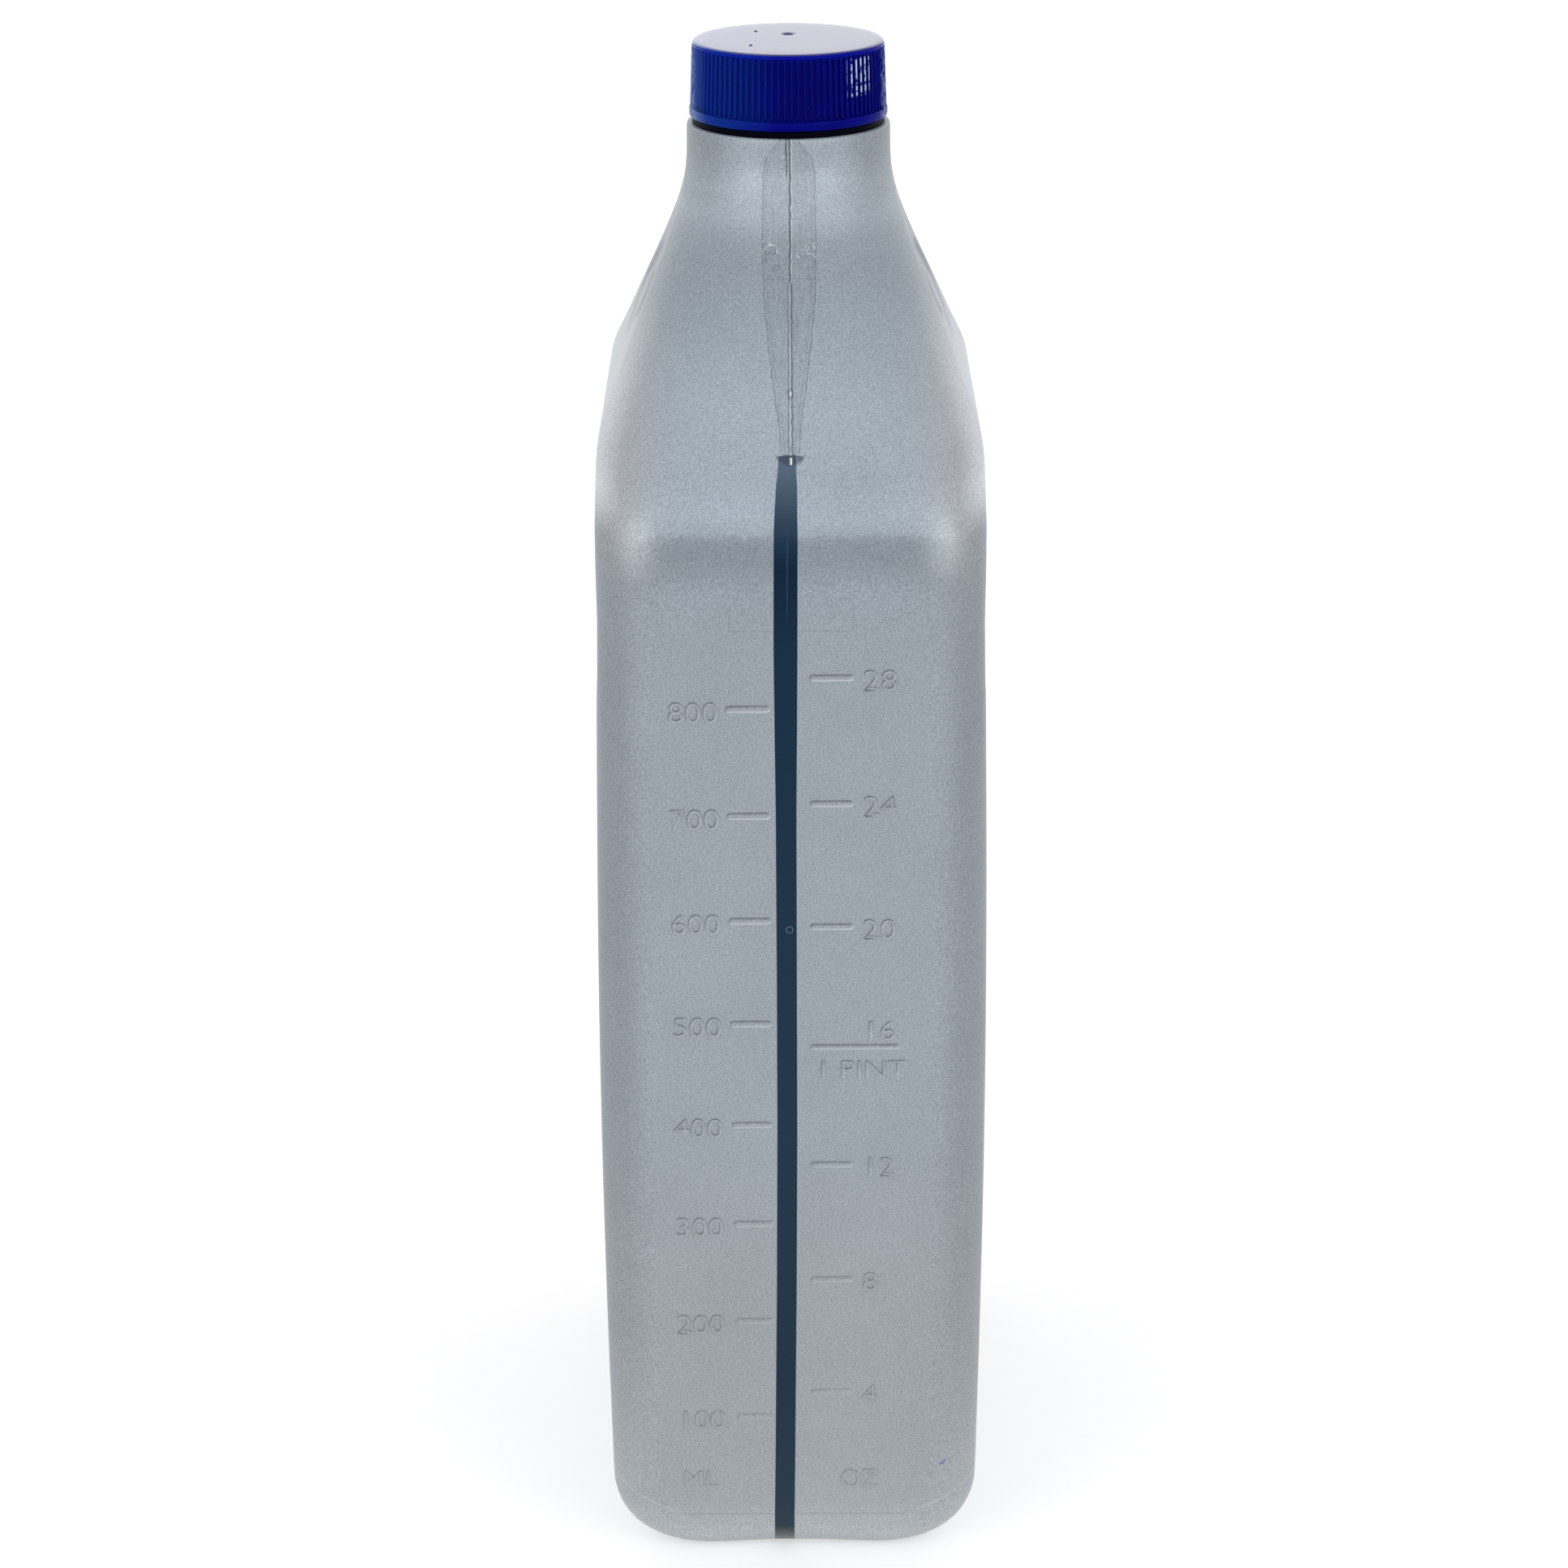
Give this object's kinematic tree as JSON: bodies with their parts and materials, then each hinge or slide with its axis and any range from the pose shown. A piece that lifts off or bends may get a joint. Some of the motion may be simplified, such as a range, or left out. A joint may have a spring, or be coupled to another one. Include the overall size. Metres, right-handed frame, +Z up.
{
  "type": "motor oil bottle",
  "caption": "Flat one-quart oil bottle with rounded shoulders, raised volume marks and a view stripe on its narrow face, and a ribbed screw cap.",
  "frame": {"origin": "centre of the base, on the plane that the bottle stands on", "axes": "+Z up along the neck, X through the thin way of the bottle, -Y out of the narrow face with the view stripe and the volume marks"},
  "size_m": [0.0622, 0.1012, 0.2422],
  "materials": {
    "bottle": "silver grey blow-moulded plastic, satin",
    "cap": "blue moulded plastic, satin",
    "cap_liner": "white foamed disc",
    "tamper_band": "dark blue moulded plastic",
    "front_label": "plain printed film",
    "back_label": "plain printed film",
    "motor_oil": "amber oil"
  },
  "bodies": {
    "bottle": {"bottle": "bottle", "tamper_band": "tamper_band", "front_label": "front_label", "back_label": "back_label", "motor_oil": "motor_oil"},
    "liner": {"cap_liner": "cap_liner"},
    "cap": {"cap": "cap"}
  },
  "joints": [
    {"name": "cap_lift", "type": "slide", "parent": "bottle", "child": "liner", "axis": [0, 0, 1], "range_m": [0, 0.0149]},
    {"name": "cap_turn", "type": "hinge", "parent": "liner", "child": "cap", "pos_m": [0, 0, 0.2363], "axis": [0, 0, 1], "range_deg": [0, 1260]}
  ],
  "couplings": [
    {"joint": "cap_lift", "follows": "cap_turn", "m_per_rad": 0.00067323}
  ]
}
